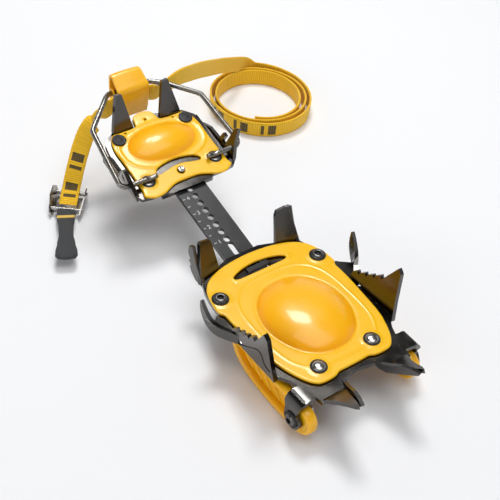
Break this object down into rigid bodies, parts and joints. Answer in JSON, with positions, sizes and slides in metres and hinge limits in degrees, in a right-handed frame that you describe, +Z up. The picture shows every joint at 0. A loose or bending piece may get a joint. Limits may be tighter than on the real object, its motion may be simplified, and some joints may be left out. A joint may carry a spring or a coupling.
{
  "type": "crampon",
  "caption": "Strap-on crampon with flexible toe basket, sliding extender bar, heel bail lever and coiled strap.",
  "frame": {"origin": "centre of the crampon's box without its strap, on the floor it lies on", "axes": "+X towards the toe, +Y to the side of the coiled strap, +Z up, the way the points stand"},
  "size_m": [0.3642, 0.2808, 0.088],
  "materials": {
    "black_steel": "gloss black painted chromoly steel with bright worn edges",
    "dark_steel": "satin dark grey painted steel",
    "yellow_plate": "gloss yellow anti-balling plastic",
    "yellow_plastic": "gloss yellow moulded plastic",
    "burnished_screws": "burnished dark steel",
    "bright_rivets": "bright domed steel",
    "zinc_nuts": "zinc plated steel",
    "black_rings": "blackened steel",
    "stainless_wire": "drawn stainless wire",
    "buckle_steel": "pressed stainless sheet",
    "yellow_webbing": "ribbed yellow webbing with a dark printed pattern",
    "grey_webbing": "dark grey ribbed webbing",
    "yellow_stitching": "yellow stitching"
  },
  "bodies": {
    "heel": {"heel_frame": "black_steel", "heel_antiball_plate": "yellow_plate", "heel_rear_screws": "black_rings", "heel_screw_nuts": "zinc_nuts", "heel_front_rivets": "bright_rivets", "heel_rivet_washers": "black_rings", "bar_guide": "black_rings", "guide_rivets": "zinc_nuts", "strap_left": "yellow_webbing", "strap_right": "yellow_webbing", "strap_coil": "yellow_webbing", "buckle_frame": "buckle_steel", "buckle_rear_bar": "buckle_steel"},
    "lock": {"lock_pin": "bright_rivets"},
    "bar": {"extender_bar": "black_steel"},
    "front": {"front_frame": "black_steel", "front_antiball_plate": "yellow_plate", "front_back_screws": "burnished_screws", "front_screw_nuts": "zinc_nuts", "front_rivets": "bright_rivets", "front_rivet_rings": "black_rings", "toe_brackets": "dark_steel", "basket_bolts": "burnished_screws", "basket_nuts": "zinc_nuts"},
    "basket": {"toe_basket": "yellow_plastic", "basket_sleeves": "zinc_nuts"},
    "bail": {"heel_bail_wire": "stainless_wire"},
    "lever": {"heel_lever": "yellow_plastic", "lever_end_caps": "yellow_plastic", "strap_in_lever": "yellow_webbing"},
    "gate": {"buckle_gate": "buckle_steel", "pull_tab": "grey_webbing", "pull_tab_band": "yellow_stitching"}
  },
  "joints": [
    {"name": "bar_length_slide", "type": "slide", "parent": "heel", "child": "bar", "axis": [0.9715, 0, -0.2368], "range_m": [-0.02058, 0.02058]},
    {"name": "lock_pin_slide", "type": "slide", "parent": "heel", "child": "lock", "axis": [0.2368, 0, 0.9715], "range_m": [-0.003, 0]},
    {"name": "front_section_hinge", "type": "hinge", "parent": "bar", "child": "front", "pos_m": [0.0183, 0, 0.03], "axis": [0, 1, 0], "range_deg": [-4, 15]},
    {"name": "toe_basket_hinge", "type": "hinge", "parent": "front", "child": "basket", "pos_m": [0.1243, 0, 0.015], "axis": [0, 1, 0], "range_deg": [-110, 0]},
    {"name": "heel_bail_hinge", "type": "hinge", "parent": "heel", "child": "bail", "pos_m": [-0.07367, 0, 0.0542], "axis": [0, 1, 0], "range_deg": [-95, 30], "deforming": ["strap_left", "strap_right"]},
    {"name": "heel_lever_hinge", "type": "hinge", "parent": "bail", "child": "lever", "pos_m": [-0.14791, 0, 0.07601], "axis": [0, 1, 0], "range_deg": [-25, 25]},
    {"name": "buckle_gate_hinge", "type": "hinge", "parent": "heel", "child": "gate", "pos_m": [-0.1254, -0.06708, 0.0053], "axis": [0.6401, 0.7683, 0], "range_deg": [-60, 0]}
  ]
}
